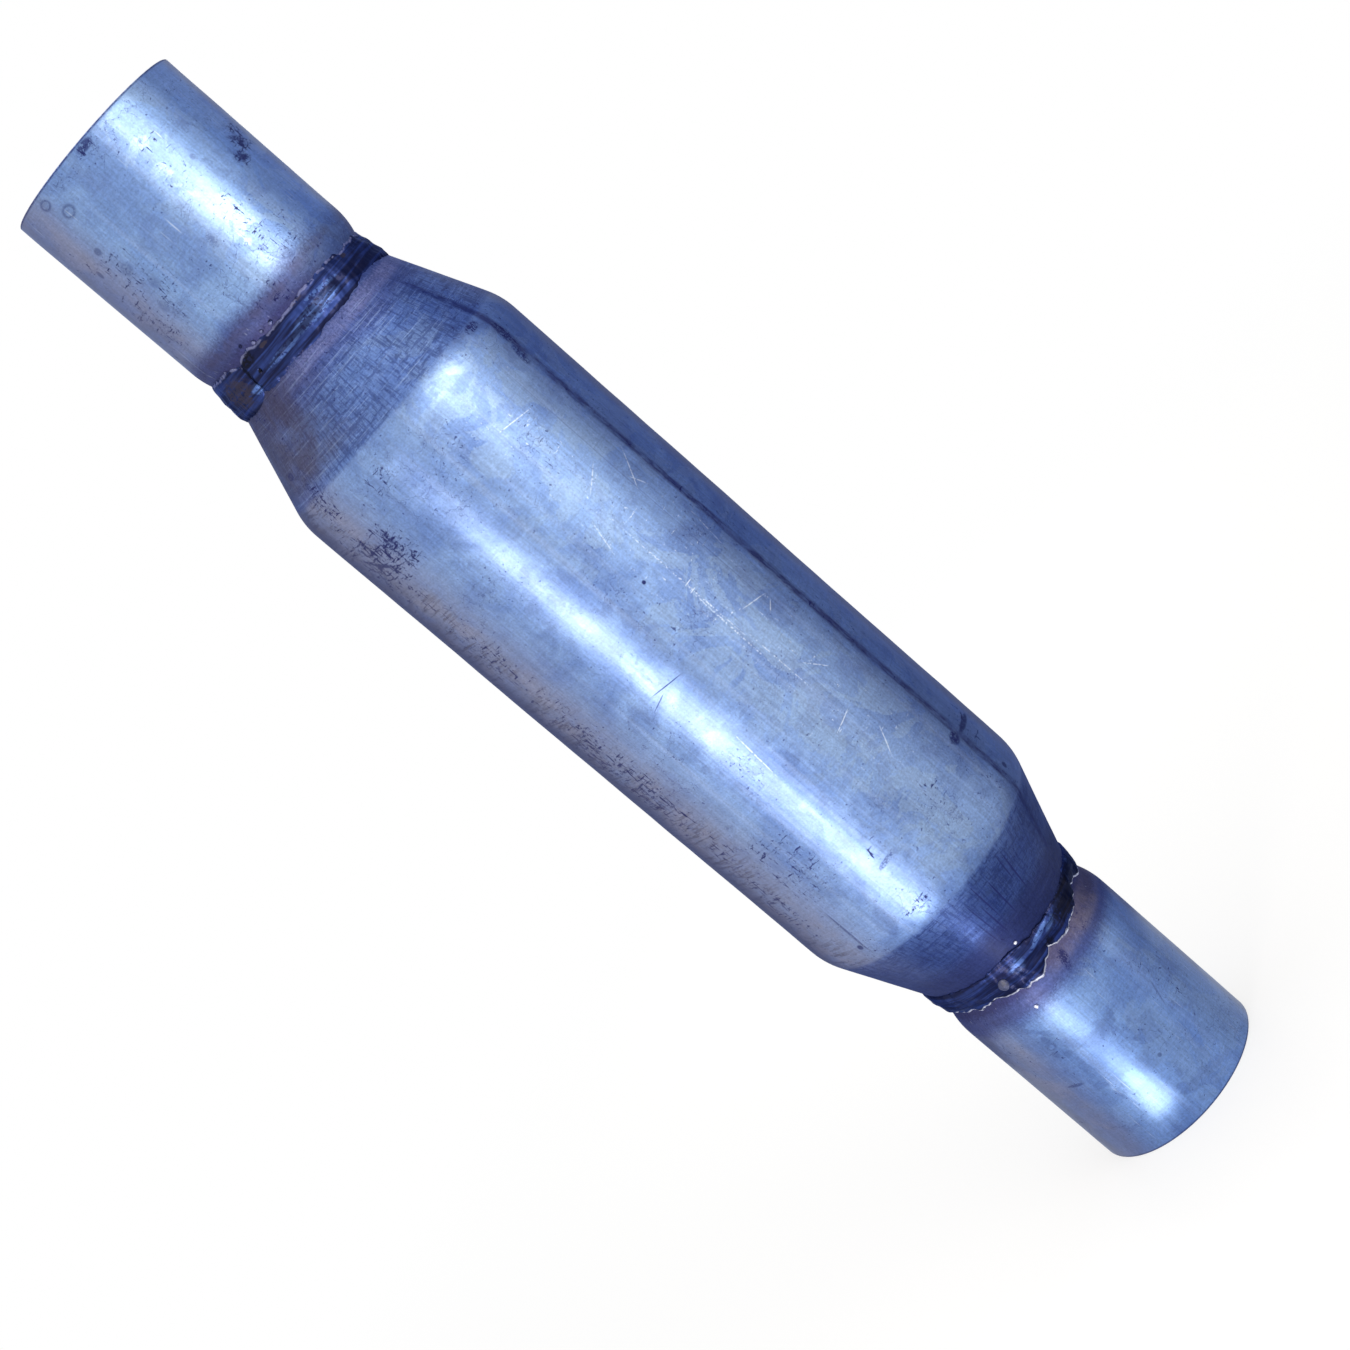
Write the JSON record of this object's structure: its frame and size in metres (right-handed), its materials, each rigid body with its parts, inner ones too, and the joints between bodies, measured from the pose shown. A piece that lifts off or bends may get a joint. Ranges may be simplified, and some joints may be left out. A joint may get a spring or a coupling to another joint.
{
  "type": "muffler",
  "caption": "Round straight-through steel muffler with spun cone ends, welded pipe stubs, a perforated core and fibre packing.",
  "frame": {"origin": "centre of the outlet pipe's open end face, on which the muffler stands", "axes": "+Z along the muffler's axis, from the outlet end to the inlet end; +X and +Y level, with the shell's long seam at 38 degrees from +X towards -Y"},
  "size_m": [0.0888, 0.0888, 0.438],
  "materials": {
    "shell_steel": "satin, with spinning lines on the cones",
    "pipe_steel": "satin drawn tube",
    "weld_metal": "dark, heat coloured and glossy",
    "slag": "dull glassy",
    "core_steel": "plain perforated sheet",
    "wool": "metal wool",
    "fibre": "glass fibre mat"
  },
  "bodies": {
    "root": {"body_shell": "shell_steel", "inlet_pipe": "pipe_steel", "outlet_pipe": "pipe_steel", "inlet_weld_run_1": "weld_metal", "inlet_weld_run_2": "weld_metal", "outlet_weld_run_1": "weld_metal", "outlet_weld_run_2": "weld_metal", "outlet_weld_run_3": "weld_metal", "weld_spatter": "weld_metal", "slag_spot": "slag", "perforated_core": "core_steel", "steel_wool_wrap": "wool", "fibre_packing": "fibre"}
  },
  "joints": []
}
